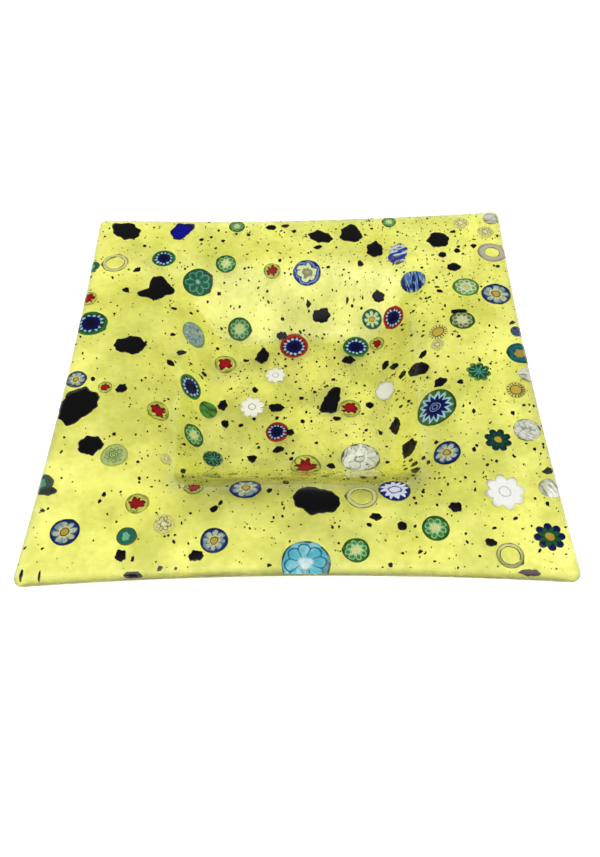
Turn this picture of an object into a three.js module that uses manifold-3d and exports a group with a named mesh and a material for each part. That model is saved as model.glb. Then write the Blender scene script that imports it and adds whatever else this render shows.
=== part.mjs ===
// Square art glass dish, fused flat from two sheets and slumped into a mould.
//
// Millimetres, +Z up. The origin is the middle of the flat foot, on the surface the dish stands on.
// A yellow base sheet lies under a clear top sheet. Slices of patterned glass cane (murrine), two
// plain chips and shards of black glass are set into the top sheet, flush with its upper face.

import * as THREE from 'three';
import { mergeVertices } from 'three/addons/utils/BufferGeometryUtils.js';
import Module from 'manifold-3d';

const wasm = await Module();
wasm.setup();

// The dish.
const SIDE = 200; // across the square, at its corners
const HEIGHT = 30; // from the foot to the top of the rim
const GLASS = 6; // both sheets together
const SEAM = 0.3; // clearance between two pieces of glass
const CORNER = 3.5; // corner radius of the square
const SIDE_BOW = 2; // how far the left and right sides draw in at their middles
const FRONT_BOW = 3.4; // how far the front and back sides draw in at their middles

// Its section, from the flat rim down the wall to the flat floor.
const FLOOR_HALF = 33; // half width of the flat floor
const WALL_SLOPE = THREE.MathUtils.degToRad(50);
const RIM_BEND = 30; // radius of the upper face where the rim turns down
const FLOOR_BEND = 12; // radius of the upper face where the wall meets the floor
const SQUARENESS = 8; // exponent of the wall's plan, 2 is a circle and more is squarer

// How finely the sheets are divided.
const SIDE_STEPS = 10;
const CORNER_STEPS = 2;
const RIM_BEND_STEPS = 4;
const FLOOR_BEND_STEPS = 3;
const EDGE_INSETS = [3, 1.3, 0.4]; // rings of the rounded edge, by distance in from the outline
const DISC_SIDES = 14;

const EDGE_ROUND = GLASS / 2;
const HALF = SIDE / 2;
const WALL_DROP = HEIGHT - GLASS - (RIM_BEND + FLOOR_BEND) * (1 - Math.cos(WALL_SLOPE));
const WALL_FOOT = FLOOR_HALF + FLOOR_BEND * Math.sin(WALL_SLOPE);
const WALL_HEAD = WALL_FOOT + WALL_DROP / Math.tan(WALL_SLOPE);
const RIM_INNER = WALL_HEAD + RIM_BEND * Math.sin(WALL_SLOPE); // half width where the rim bends

// Depths below the upper face.
const CLEAR_UNDERSIDE = (GLASS - SEAM) / 2;
const YELLOW_FACE = (GLASS + SEAM) / 2;

// Glass colours: colour, roughness.
const GLASSES = {
  yellow: [0xe2dc6c, 0.06],
  clear: [0xf4f4e6, 0.05],
  green: [0x3f6b3c, 0.12],
  red: [0xa8321f, 0.12],
  blue: [0x2f4f9e, 0.12],
  white: [0xf1ece0, 0.14],
  cream: [0xe6dcb4, 0.14],
  grey: [0x9aa39a, 0.1],
  teal: [0x2f8f8c, 0.12],
  black: [0x14110f, 0.1],
};

// Round slices, by pattern: name, colour, then one row for each slice of x, y and diameter.
const ROUND_SLICES = [
  ['green_daisy_murrina', 'green', [
    [-34, 65, 10], [-28, 41, 11.5], [-44, -24, 11], [51, -80, 10.5],
    [22, -88.5, 10], [73, 24, 11], [77, 45, 12],
  ]],
  ['green_starburst_murrina', 'green', [
    [-64, 69, 11.5], [-92, 26, 15], [-47, 0, 12.5], [27, 31, 12.5], [57, -21, 18],
  ]],
  ['red_starburst_murrina', 'red', [[-2, 32, 14], [-9, -18, 10.5], [45, 40, 11.5]]],
  ['blue_daisy_murrina', 'blue', [
    [90, 40, 13.5], [-84, -80, 11.5], [-29, -84, 10.5], [-19, -60, 12.5], [59, -45, 11.5],
  ]],
  ['red_star_murrina', 'red', [[-34, 21.5, 10.5], [23, -5.5, 10], [3.5, -37, 13.5]]],
  ['white_daisy_murrina', 'white', [[-10.5, 14.5, 10], [-20.5, -4, 12], [78, -65, 16]]],
  ['dark_flower_murrina', 'green', [[91, -84, 11.5], [79, -41, 11], [76, -6, 10.5]]],
  ['clear_ring_murrina', 'grey', [[25, -65.5, 12], [76, -91, 10], [-87, 66, 12.5], [92, 68, 13.5]]],
  ['pale_flower_murrina', 'cream', [[26.5, -33, 17], [91, -36.5, 11], [-48, 30, 13.5]]],
  ['teal_flower_murrina', 'teal', [[-47, 56, 14.5], [-71, -46, 11]]],
  ['turquoise_petal_murrina', 'teal', [[4, -93.5, 18]]],
  ['striped_cane_murrina', 'blue', [[54, 53, 12], [-40, -7, 9]]],
  ['blue_flower_murrina', 'blue', [[37.5, -62, 12.5], [4.5, 60, 13.5]]],
];

// Pieces of any other outline: name, colour, x, y of the middle, and the outline about it.
const SHAPED_PIECES = [
  ['striped_cane_murrina_3', 'blue', 48, 69, [
    [5, 4], [1, 7], [-3, 5], [-5, -2], [-4, -5], [-1, -7], [3, -4],
  ]],
  ['white_chip', 'white', 39, 2.5, [
    [4.5, 3], [0.5, 6], [-2.5, 5.5], [-4.5, 2], [-4, -2], [-1.5, -4.5], [2, -5.5], [5, -2.5],
  ]],
  ['cobalt_chip', 'blue', -57, 88.5, [
    [6, 2], [5.5, 5.5], [-2.5, 6], [-6, 0], [-4, -6], [0.5, -6.5],
  ]],
  ['black_shard_1', 'black', -85, 89, [
    [7.5, -3.5], [7, 1], [2, 6.5], [-6, 6.5], [-8, 4.5], [-5.5, -2], [0, -6], [5, -6],
  ]],
  ['black_shard_2', 'black', -66, 48, [
    [9, 2.5], [2.5, 8.5], [-2, 9], [-3, 0], [-8, -2.5], [-5, -6], [1, -7], [8, -1],
  ]],
  ['black_shard_3', 'black', -73, 12.5, [
    [7, 1], [4.5, 5.5], [-0.5, 5.5], [-5.5, 3.5], [-7, 0], [-5.5, -3], [2.5, -5.5], [6.5, -3],
  ]],
  ['black_shard_4', 'black', -89.5, -20.5, [
    [8.5, 4], [1.5, 10.5], [-5, 7], [-8, 2], [-8, -6], [-3, -11], [3, -7], [8, -1],
  ]],
  ['black_shard_5', 'black', -81, -41, [
    [5.5, 0], [3, 4], [-2, 5], [-5.5, 1.5], [-4, -3.5], [1.5, -5],
  ]],
  ['black_shard_6', 'black', 7.5, -66.5, [
    [10, 0], [6, 4], [0, 7], [-6, 6.5], [-8.5, 2], [-7, -3.5], [-2, -7], [7, -6.5],
  ]],
  ['black_shard_7', 'black', 15, -1, [
    [4, 2.5], [4.5, 7.5], [1, 8], [-2, 4.5], [-5, -2.5], [-5, -6], [-1, -8], [2, -6],
  ]],
  ['black_shard_8', 'black', 11.5, 81.5, [
    [6, -1.5], [4, 2], [-1.5, 5.5], [-6, 3], [-5.5, -1], [-1, -4], [4, -4],
  ]],
  ['black_shard_9', 'black', 25.5, 83.5, [
    [6.5, -3], [4, 5], [0.5, 8], [-4, 3.5], [-5, -3], [-3.5, -5], [2, -6.5],
  ]],
  ['black_shard_10', 'black', 37, 72, [
    [4, -3], [3.5, 3], [0.5, 6], [-3.5, 3], [-4, -2], [-1, -5.5],
  ]],
  ['black_shard_11', 'black', 52.5, 3, [
    [6, -1.5], [2, 3], [-3, 4], [-6, 1.5], [-4.5, -2], [3, -4.5],
  ]],
  ['black_shard_12', 'black', 68, 78, [
    [5.5, 1], [2, 5.5], [-3, 5], [-6, -1], [-3, -5], [3, -5],
  ]],
];

// How far a point lies from the middle on the dish's squared plan.
function reachOf(x, y) {
  return (Math.abs(x) ** SQUARENESS + Math.abs(y) ** SQUARENESS) ** (1 / SQUARENESS);
}

// One side of the square and the corner after it, before it is turned to its place.
function sideAndCorner(bow) {
  const straight = HALF - CORNER;
  const points = [];
  for (let step = 0; step < SIDE_STEPS; step++) {
    const along = Math.sin(Math.PI * (step / SIDE_STEPS - 0.5));
    points.push(new THREE.Vector2(HALF - bow * (1 - along ** 2), straight * along));
  }
  for (let step = 0; step <= CORNER_STEPS; step++) {
    const turn = (Math.PI / 2) * (step / (CORNER_STEPS + 1));
    points.push(new THREE.Vector2(straight + CORNER * Math.cos(turn), straight + CORNER * Math.sin(turn)));
  }
  return points;
}

// The plan of the dish, anticlockwise from above.
function dishOutline() {
  const middle = new THREE.Vector2();
  const points = [];
  for (const [turn, bow] of [SIDE_BOW, FRONT_BOW, SIDE_BOW, FRONT_BOW].entries()) {
    for (const point of sideAndCorner(bow)) {
      points.push(point.rotateAround(middle, (turn * Math.PI) / 2));
    }
  }
  return points;
}

// A closed outline moved outward by a distance, or inward where it is negative.
function grown(outline, by) {
  return outline.map((point, i) => {
    const before = outline.at(i - 1);
    const after = outline[(i + 1) % outline.length];
    const arriving = point.clone().sub(before).normalize();
    const leaving = after.clone().sub(point).normalize();
    const outward = new THREE.Vector2(arriving.y + leaving.y, -arriving.x - leaving.x).normalize();
    const facing = new THREE.Vector2(leaving.y, -leaving.x).dot(outward);
    return point.clone().addScaledVector(outward, by / facing);
  });
}

// The section of the face at a depth below the upper one, from the floor out to the rim.
function faceSection(depth) {
  const section = [];
  for (let step = 0; step <= FLOOR_BEND_STEPS; step++) {
    const lean = WALL_SLOPE * (step / FLOOR_BEND_STEPS);
    const radius = FLOOR_BEND + depth;
    section.push([FLOOR_HALF + radius * Math.sin(lean), GLASS + FLOOR_BEND - radius * Math.cos(lean)]);
  }
  for (let step = RIM_BEND_STEPS; step >= 0; step--) {
    const lean = WALL_SLOPE * (step / RIM_BEND_STEPS);
    const radius = RIM_BEND - depth;
    section.push([RIM_INNER - radius * Math.sin(lean), HEIGHT - RIM_BEND + radius * Math.cos(lean)]);
  }
  return section;
}

// The rings of points that make one face, from the floor out to where its edge begins.
function faceRings(outline, depth) {
  const rings = faceSection(depth).map(([reach, height]) => outline.map((point) => {
    const scale = reach / reachOf(point.x, point.y);
    return new THREE.Vector3(point.x * scale, point.y * scale, height);
  }));
  if (depth === 0 || depth === GLASS) {
    const inwards = depth === 0 ? -1 : 1;
    for (const inset of EDGE_INSETS) {
      const drop = EDGE_ROUND - Math.sqrt(EDGE_ROUND ** 2 - (EDGE_ROUND - inset) ** 2);
      const height = HEIGHT - depth + inwards * drop;
      rings.push(grown(outline, -inset).map((point) => new THREE.Vector3(point.x, point.y, height)));
    }
  }
  return rings;
}

// A slumped sheet between two depths. Its edge comes to the outline at the seam's height.
function sheetGeometry(upperDepth, lowerDepth) {
  const outline = dishOutline();
  const seamDepth = upperDepth === 0 ? lowerDepth : upperDepth;
  const edge = outline.map((point) => new THREE.Vector3(point.x, point.y, HEIGHT - seamDepth));
  const rings = [...faceRings(outline, upperDepth), edge, ...faceRings(outline, lowerDepth).reverse()];
  const points = [
    new THREE.Vector3(0, 0, GLASS - upperDepth),
    ...rings.flat(),
    new THREE.Vector3(0, 0, GLASS - lowerDepth),
  ];
  const around = outline.length;
  const last = points.length - 1;
  const faces = [];
  for (let k = 0; k < around; k++) {
    const next = (k + 1) % around;
    faces.push(0, 1 + k, 1 + next);
    for (let ring = 0; ring < rings.length - 1; ring++) {
      const inner = 1 + ring * around;
      const outer = inner + around;
      faces.push(inner + k, outer + k, outer + next);
      faces.push(inner + k, outer + next, inner + next);
    }
    const lowest = 1 + (rings.length - 1) * around;
    faces.push(last, lowest + next, lowest + k);
  }
  const geometry = new THREE.BufferGeometry().setFromPoints(points);
  geometry.setIndex(faces);
  return geometry;
}

// Height of the upper face above the foot, at a reach from the middle.
function upperHeight(reach) {
  if (reach <= FLOOR_HALF) return GLASS;
  if (reach <= WALL_FOOT) {
    return GLASS + FLOOR_BEND - Math.sqrt(FLOOR_BEND ** 2 - (reach - FLOOR_HALF) ** 2);
  }
  if (reach >= RIM_INNER) return HEIGHT;
  if (reach >= WALL_HEAD) {
    return HEIGHT - RIM_BEND + Math.sqrt(RIM_BEND ** 2 - (RIM_INNER - reach) ** 2);
  }
  const wallHeadHeight = HEIGHT - RIM_BEND * (1 - Math.cos(WALL_SLOPE));
  return wallHeadHeight - (WALL_HEAD - reach) * Math.tan(WALL_SLOPE);
}

// The frame of a piece set in the upper face: Z is square to the glass, X runs along the dish's X.
function placeOnFace(x, y) {
  const small = 0.01;
  const height = (u, v) => upperHeight(reachOf(u, v));
  const alongX = new THREE.Vector3(2 * small, 0, height(x + small, y) - height(x - small, y));
  const alongY = new THREE.Vector3(0, 2 * small, height(x, y + small) - height(x, y - small));
  const axisZ = alongX.clone().cross(alongY).normalize();
  const axisX = alongX.normalize();
  const axisY = axisZ.clone().cross(axisX);
  return new THREE.Matrix4().makeBasis(axisX, axisY, axisZ).setPosition(x, y, height(x, y));
}

function discOutline(diameter) {
  const points = [];
  for (let side = 0; side < DISC_SIDES; side++) {
    const turn = (2 * Math.PI * side) / DISC_SIDES;
    points.push(new THREE.Vector2(Math.cos(turn), Math.sin(turn)).multiplyScalar(diameter / 2));
  }
  return points;
}

function solidFrom(geometry) {
  const bare = geometry.clone();
  bare.deleteAttribute('normal');
  bare.deleteAttribute('uv');
  const merged = mergeVertices(bare);
  return new wasm.Manifold(new wasm.Mesh({
    numProp: 3,
    vertProperties: new Float32Array(merged.attributes.position.array),
    triVerts: new Uint32Array(merged.index.array),
  }));
}

function geometryFrom(solid) {
  const mesh = solid.getMesh();
  const geometry = new THREE.BufferGeometry();
  geometry.setAttribute('position', new THREE.BufferAttribute(mesh.vertProperties, 3));
  geometry.setIndex(new THREE.BufferAttribute(mesh.triVerts, 1));
  geometry.computeVertexNormals();
  return geometry;
}

// A straight-sided blank through the whole top sheet, in the place of the piece it will become.
function blankThroughSheet(outline, place) {
  const standProud = GLASS;
  const blank = new THREE.ExtrudeGeometry(new THREE.Shape(outline), {
    depth: 2 * standProud,
    bevelEnabled: false,
  });
  blank.translate(0, 0, -standProud);
  blank.applyMatrix4(place);
  return solidFrom(blank);
}

function glassMesh(name, glass, geometry) {
  const [color, roughness] = GLASSES[glass];
  const material = new THREE.MeshStandardMaterial({ color, roughness, metalness: 0 });
  const mesh = new THREE.Mesh(geometry, material);
  mesh.name = name;
  return mesh;
}

// Every piece set in the top sheet: name, glass, x, y and outline.
function insetPieces() {
  const pieces = [];
  for (const [name, glass, places] of ROUND_SLICES) {
    for (const [i, [x, y, diameter]] of places.entries()) {
      pieces.push([`${name}_${i + 1}`, glass, x, y, discOutline(diameter)]);
    }
  }
  for (const [name, glass, x, y, corners] of SHAPED_PIECES) {
    pieces.push([name, glass, x, y, corners.map(([u, v]) => new THREE.Vector2(u, v))]);
  }
  return pieces;
}

const dish = new THREE.Group();
const wholeTopSheet = solidFrom(sheetGeometry(0, CLEAR_UNDERSIDE));
let topSheet = wholeTopSheet;

for (const [name, glass, x, y, outline] of insetPieces()) {
  const place = placeOnFace(x, y);
  const piece = blankThroughSheet(outline, place).intersect(wholeTopSheet);
  topSheet = topSheet.subtract(blankThroughSheet(grown(outline, SEAM), place));
  const geometry = geometryFrom(piece).applyMatrix4(place.clone().invert());
  const mesh = glassMesh(name, glass, geometry);
  mesh.applyMatrix4(place);
  dish.add(mesh);
}

dish.add(glassMesh('yellow_base_sheet', 'yellow', sheetGeometry(YELLOW_FACE, GLASS)));
dish.add(glassMesh('clear_top_sheet', 'clear', geometryFrom(topSheet)));

export default dish;
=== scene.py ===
"""Looks of a square dish of fused glass: two slumped sheets, patterned cane slices, shards and frit.

Lengths are millimetres in the shape code, and new_piece turns them into metres.
"""
import math
import random

import bpy
import numpy as np
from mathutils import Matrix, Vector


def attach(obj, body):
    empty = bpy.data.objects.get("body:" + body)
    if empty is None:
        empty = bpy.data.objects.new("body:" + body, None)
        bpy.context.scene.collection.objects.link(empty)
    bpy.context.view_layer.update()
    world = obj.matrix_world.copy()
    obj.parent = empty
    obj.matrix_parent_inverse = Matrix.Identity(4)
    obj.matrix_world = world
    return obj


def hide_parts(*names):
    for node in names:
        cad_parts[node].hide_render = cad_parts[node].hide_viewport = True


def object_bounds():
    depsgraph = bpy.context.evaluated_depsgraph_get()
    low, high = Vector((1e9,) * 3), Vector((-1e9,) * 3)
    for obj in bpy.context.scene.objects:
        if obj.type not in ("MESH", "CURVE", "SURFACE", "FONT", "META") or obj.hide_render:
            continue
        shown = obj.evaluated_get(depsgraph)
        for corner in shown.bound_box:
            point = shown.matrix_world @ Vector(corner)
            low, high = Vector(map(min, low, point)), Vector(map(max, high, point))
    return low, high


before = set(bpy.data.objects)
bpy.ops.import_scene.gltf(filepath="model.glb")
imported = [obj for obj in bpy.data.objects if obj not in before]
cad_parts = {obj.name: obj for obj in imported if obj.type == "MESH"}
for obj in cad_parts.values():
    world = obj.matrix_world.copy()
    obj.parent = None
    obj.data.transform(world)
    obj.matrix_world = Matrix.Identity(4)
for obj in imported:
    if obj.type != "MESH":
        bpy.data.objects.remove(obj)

cad_low, cad_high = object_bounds()
MM = 0.001

# ---------------------------------------------------------------- camera


LENS = 32.73
SENSOR_WIDTH = 36
CAMERA_PLACE = (0.0100, -0.2195, 0.2781)
CAMERA_TURN = (36.74, 1.71, 0.26)  # degrees about x, y and z


def make_camera():
    data = bpy.data.cameras.new("camera")
    data.lens = LENS
    data.sensor_width = SENSOR_WIDTH
    data.clip_start = 0.01
    camera = bpy.data.objects.new("camera", data)
    camera.location = CAMERA_PLACE
    camera.rotation_euler = [math.radians(angle) for angle in CAMERA_TURN]
    bpy.context.scene.collection.objects.link(camera)
    bpy.context.scene.camera = camera


make_camera()

# ---------------------------------------------------------------- the dish's shape

HALF = cad_high.x / MM
HEIGHT = cad_high.z / MM
GLASS = 6.0
EDGE_ROUND = GLASS / 2
SIDE_BOW = 2.0
FRONT_BOW = 3.4
CORNER = 3.5
FLOOR_HALF = 33.0
WALL_SLOPE = math.radians(50)
RIM_BEND = 30.0
FLOOR_BEND = 12.0
SQUARENESS = 8
WALL_DROP = HEIGHT - GLASS - (RIM_BEND + FLOOR_BEND) * (1 - math.cos(WALL_SLOPE))
WALL_FOOT = FLOOR_HALF + FLOOR_BEND * math.sin(WALL_SLOPE)
WALL_HEAD = WALL_FOOT + WALL_DROP / math.tan(WALL_SLOPE)
RIM_INNER = WALL_HEAD + RIM_BEND * math.sin(WALL_SLOPE)
SEAM_OVERLAP = 0.04  # the sheets have melted together, so no air shows between them


def reach_of(x, y):
    return (np.abs(x) ** SQUARENESS + np.abs(y) ** SQUARENESS) ** (1 / SQUARENESS)


def section_height(reach):
    """Height of the upper face at a reach from the middle, with no rounded edge."""
    floor_bend = GLASS + FLOOR_BEND - np.sqrt(
        np.maximum(FLOOR_BEND**2 - np.clip(reach - FLOOR_HALF, 0, None) ** 2, 0))
    wall = HEIGHT - RIM_BEND * (1 - math.cos(WALL_SLOPE)) - (WALL_HEAD - reach) * math.tan(WALL_SLOPE)
    rim_bend = HEIGHT - RIM_BEND + np.sqrt(
        np.maximum(RIM_BEND**2 - np.clip(RIM_INNER - reach, 0, None) ** 2, 0))
    return np.where(reach < WALL_FOOT, floor_bend, np.where(reach < WALL_HEAD, wall, rim_bend))


def outline_limits(x, y):
    """How far the outline lies from the middle, across and along, at a point."""
    return (HALF - SIDE_BOW * (1 - (y / HALF) ** 2), HALF - FRONT_BOW * (1 - (x / HALF) ** 2))


def edge_drop(x, y):
    """How far the rounded edge has fallen from the face at a point."""
    limit_x, limit_y = outline_limits(x, y)
    inset = np.clip(np.minimum(limit_x - np.abs(x), limit_y - np.abs(y)), 0, EDGE_ROUND)
    return EDGE_ROUND - np.sqrt(EDGE_ROUND**2 - (EDGE_ROUND - inset) ** 2)


def ripple_waves(seed, count, longest, shortest, height):
    """Slow waves of seeded direction and length, for the hand-made unevenness of a face."""
    rng = random.Random(seed)
    waves = []
    for _ in range(count):
        length = rng.uniform(shortest, longest)
        turn = rng.uniform(0, math.tau)
        waves.append((math.tau / length * math.cos(turn), math.tau / length * math.sin(turn),
                      rng.uniform(0, math.tau), height * length / longest / math.sqrt(count)))
    return waves


UPPER_WAVES = ripple_waves("upper face", 14, 62, 11, 0.30)
LOWER_WAVES = ripple_waves("lower face", 14, 48, 9, 0.34)


def ripple(waves, x, y):
    return sum(size * np.sin(kx * x + ky * y + phase) for kx, ky, phase, size in waves)


def face_height(x, y):
    """The upper face as it shows, ripples and rounded edge included."""
    return section_height(reach_of(x, y)) - edge_drop(x, y) + ripple(UPPER_WAVES, x, y)


def face_normal(x, y):
    step = 0.05
    slope_x = (face_height(x + step, y) - face_height(x - step, y)) / (2 * step)
    slope_y = (face_height(x, y + step) - face_height(x, y - step)) / (2 * step)
    normal = np.stack([-slope_x, -slope_y, np.ones_like(slope_x)], axis=-1)
    return normal / np.linalg.norm(normal, axis=-1, keepdims=True)


# ---------------------------------------------------------------- meshes


SHARP_CORNER = math.radians(48)


def new_piece(name, points, faces, material, replaces=(), smooth=True):
    mesh = bpy.data.meshes.new(name)
    mesh.from_pydata((np.asarray(points) * MM).tolist(), [], faces)
    mesh.materials.append(material)
    if smooth:
        mesh.shade_smooth()
    else:
        mesh.shade_flat()
    mesh.set_sharp_from_angle(angle=SHARP_CORNER)
    piece = bpy.data.objects.new(name, mesh)
    bpy.context.scene.collection.objects.link(piece)
    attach(piece, "root")
    if replaces:
        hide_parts(*replaces)
    return piece


def ring_faces(ring_count, around):
    """Faces of a closed body: point 0, then rings, then one last point."""
    faces = []
    for k in range(around):
        after = (k + 1) % around
        faces.append((0, 1 + k, 1 + after))
        for ring in range(ring_count - 1):
            inner = 1 + ring * around
            outer = inner + around
            faces.append((inner + k, outer + k, outer + after, inner + after))
        lowest = 1 + (ring_count - 1) * around
        faces.append((1 + ring_count * around, lowest + after, lowest + k))
    return faces


def dish_outline(side_steps=72, corner_steps=8):
    """Points of the plan, anticlockwise from above, and the way out of the plan at each."""
    straight = HALF - CORNER
    points, outward = [], []
    for quarter, bow in enumerate((SIDE_BOW, FRONT_BOW, SIDE_BOW, FRONT_BOW)):
        turn = complex(math.cos(quarter * math.pi / 2), math.sin(quarter * math.pi / 2))
        for step in range(side_steps):
            along = math.sin(math.pi * (step / side_steps - 0.5))
            lean = 2 * bow * along / straight
            points.append(complex(HALF - bow * (1 - along**2), straight * along) * turn)
            outward.append(complex(1, -lean) / abs(complex(1, -lean)) * turn)
        for step in range(corner_steps + 1):
            angle = math.pi / 2 * step / (corner_steps + 1)
            way = complex(math.cos(angle), math.sin(angle))
            points.append((complex(straight, straight) + CORNER * way) * turn)
            outward.append(way * turn)
    return [np.column_stack([np.real(values), np.imag(values)]) for values in (points, outward)]


OUTLINE, OUTWARD = dish_outline()
FLOOR_REACHES = (6, 12, 18, 23, 28)
FLAT_RIM_SHARES = (0.2, 0.4, 0.6, 0.8)
EDGE_TURNS = (90, 72, 54, 36, 20, 8)  # degrees round the rounded edge from the face to the outline
FLOOR_BEND_RINGS = 9
RIM_BEND_RINGS = 15
CALM_EDGE = 12  # width of the band along the edge where the ripples fade


def sheet_face(depth, rounded):
    """Rings of one face of a sheet, from the floor's middle out to the edge."""
    rings = []
    outline_reach = reach_of(OUTLINE[:, 0], OUTLINE[:, 1])[:, None]

    def add_ring(reach, height):
        rings.append(np.column_stack([OUTLINE * (reach / outline_reach), np.full(len(OUTLINE), height)]))

    for reach in FLOOR_REACHES:
        add_ring(reach, GLASS - depth)
    for lean in np.linspace(0, WALL_SLOPE, FLOOR_BEND_RINGS):
        radius = FLOOR_BEND + depth
        add_ring(FLOOR_HALF + radius * math.sin(lean), GLASS + FLOOR_BEND - radius * math.cos(lean))
    for lean in np.linspace(WALL_SLOPE, 0, RIM_BEND_RINGS):
        radius = RIM_BEND - depth
        add_ring(RIM_INNER - radius * math.sin(lean), HEIGHT - RIM_BEND + radius * math.cos(lean))
    rim_edge = OUTLINE - OUTWARD * EDGE_ROUND
    bend_edge = rings[-1][:, :2]
    for share in FLAT_RIM_SHARES:
        level = np.full(len(OUTLINE), HEIGHT - depth)
        rings.append(np.column_stack([bend_edge + (rim_edge - bend_edge) * share, level]))
    if rounded:
        facing = 1 if depth == 0 else -1
        for degrees in EDGE_TURNS:
            turn = math.radians(degrees)
            inset = EDGE_ROUND * (1 - math.cos(turn))
            level = HEIGHT - EDGE_ROUND + facing * EDGE_ROUND * math.sin(turn)
            rings.append(np.column_stack([OUTLINE - OUTWARD * inset, np.full(len(OUTLINE), level)]))
    return rings


def rippled(rings, middle, waves):
    """A face's rings and middle point, moved up and down by its ripples and evened out at the edge."""
    for ring in rings:
        edge = np.clip((HALF - np.abs(ring[:, :2]).max(axis=1)) / CALM_EDGE, 0, 1)
        ring[:, 2] += ripple(waves, ring[:, 0], ring[:, 1]) * edge
    return rings, middle + np.array([0, 0, ripple(waves, 0.0, 0.0)])


def slumped_sheet(name, upper_depth, lower_depth, upper_waves, lower_waves, material):
    """A sheet of the dish between two depths, with its rounded edge, as one closed body."""
    outside_up = upper_depth == 0
    upper, top = rippled(sheet_face(upper_depth, outside_up), np.array([0, 0, GLASS - upper_depth]),
                         upper_waves)
    lower, bottom = rippled(sheet_face(lower_depth, not outside_up),
                            np.array([0, 0, GLASS - lower_depth]), lower_waves)
    seam_level = HEIGHT - (lower_depth if outside_up else upper_depth)
    edge = np.column_stack([OUTLINE, np.full(len(OUTLINE), seam_level)])
    rings = [*upper, edge, *lower[::-1]]
    points = np.vstack([top, *rings, bottom])
    return new_piece(f"{name}_fused", points, ring_faces(len(rings), len(OUTLINE)), material,
                     replaces=[name])


# ---------------------------------------------------------------- materials


def rgb(red, green, blue):
    """A screen colour, 0 to 255, as the linear colour that nodes take."""
    def linear(value):
        value /= 255
        return value / 12.92 if value <= 0.04045 else ((value + 0.055) / 1.055) ** 2.4
    return (linear(red), linear(green), linear(blue), 1.0)


class Nodes:
    """A node tree, built by short calls."""

    def __init__(self, tree):
        self.nodes = tree.nodes
        self.links = tree.links

    def feed(self, socket, value):
        if isinstance(value, bpy.types.NodeSocket):
            self.links.new(value, socket)
        else:
            socket.default_value = value

    def fill(self, node, **inputs):
        """Feeds a node's inputs by name, with _ for a space."""
        for name, value in inputs.items():
            self.feed(node.inputs[name.replace("_", " ")], value)
        return node

    def node(self, kind, **inputs):
        return self.fill(self.nodes.new(f"ShaderNode{kind}"), **inputs)

    def split(self, vector):
        return self.node("SeparateXYZ", Vector=vector).outputs

    def maths(self, operation, *values, clamp=False):
        node = self.node("Math")
        node.operation = operation
        node.use_clamp = clamp
        for socket, value in zip(node.inputs, values):
            self.feed(socket, value)
        return node.outputs[0]

    def length_of(self, u, v):
        squares = self.maths("ADD", self.maths("MULTIPLY", u, u), self.maths("MULTIPLY", v, v))
        return self.maths("SQRT", squares)

    def ramp(self, value, low, high, end, start=0.0):
        """A smooth change from start to end as the value goes from low to high."""
        node = self.node("MapRange", Value=value, From_Min=low, From_Max=high, To_Min=start, To_Max=end)
        node.interpolation_type = "SMOOTHSTEP"
        return node.outputs[0]


class Graph(Nodes):
    """A material's nodes."""

    def __init__(self, name, roughness, **inputs):
        self.material = bpy.data.materials.new(name)
        self.material.use_nodes = True
        super().__init__(self.material.node_tree)
        self.shader = self.nodes["Principled BSDF"]
        self.fill(self.shader, Roughness=roughness, **inputs)

    def mix_colours(self, share, first, second, blend="MIX"):
        node = self.node("Mix")
        node.data_type = "RGBA"
        node.blend_type = blend
        self.feed(node.inputs[0], share)
        self.feed(node.inputs[6], first)
        self.feed(node.inputs[7], second)
        return node.outputs[2]

    def noise(self, vector, scale, detail=2.0, colour=False):
        node = self.node("TexNoise", Scale=scale, Detail=detail, Vector=vector)
        return node.outputs["Color" if colour else "Fac"]

    def position(self):
        return self.node("TexCoord").outputs["Object"]

    def bump(self, height, strength, distance):
        node = self.node("Bump", Strength=strength, Distance=distance, Height=height)
        self.fill(self.shader, Normal=node.outputs[0])


GLASS_IOR = 1.46


def glass_material(name, pale, deep, roughness, clarity, absorbing=None, density=0.0):
    """Sheet glass, mottled between two tints, with a slightly uneven face.

    absorbing tints it by depth, and what clarity leaves of the light scatters and lights the edges.
    """
    graph = Graph(name, roughness, IOR=GLASS_IOR, Transmission_Weight=clarity)
    place = graph.position()
    cloud = graph.maths("ADD", graph.maths("MULTIPLY", graph.noise(place, 55, 3), 1.1),
                        graph.maths("MULTIPLY", graph.noise(place, 420, 3), 0.9))
    share = graph.maths("MULTIPLY_ADD", cloud, 2.4, -1.9, clamp=True)
    graph.fill(graph.shader, Base_Color=graph.mix_colours(share, deep, pale))
    graph.bump(graph.noise(place, 260, 2), 0.25, 0.0002)
    if absorbing:
        volume = graph.node("VolumeAbsorption", Color=absorbing, Density=density)
        graph.fill(graph.nodes["Material Output"], Volume=volume.outputs[0])
    return graph.material


CANE_TONE = 0.90  # brings the cane colours, given as lit, to the strength of the studio light


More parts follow.
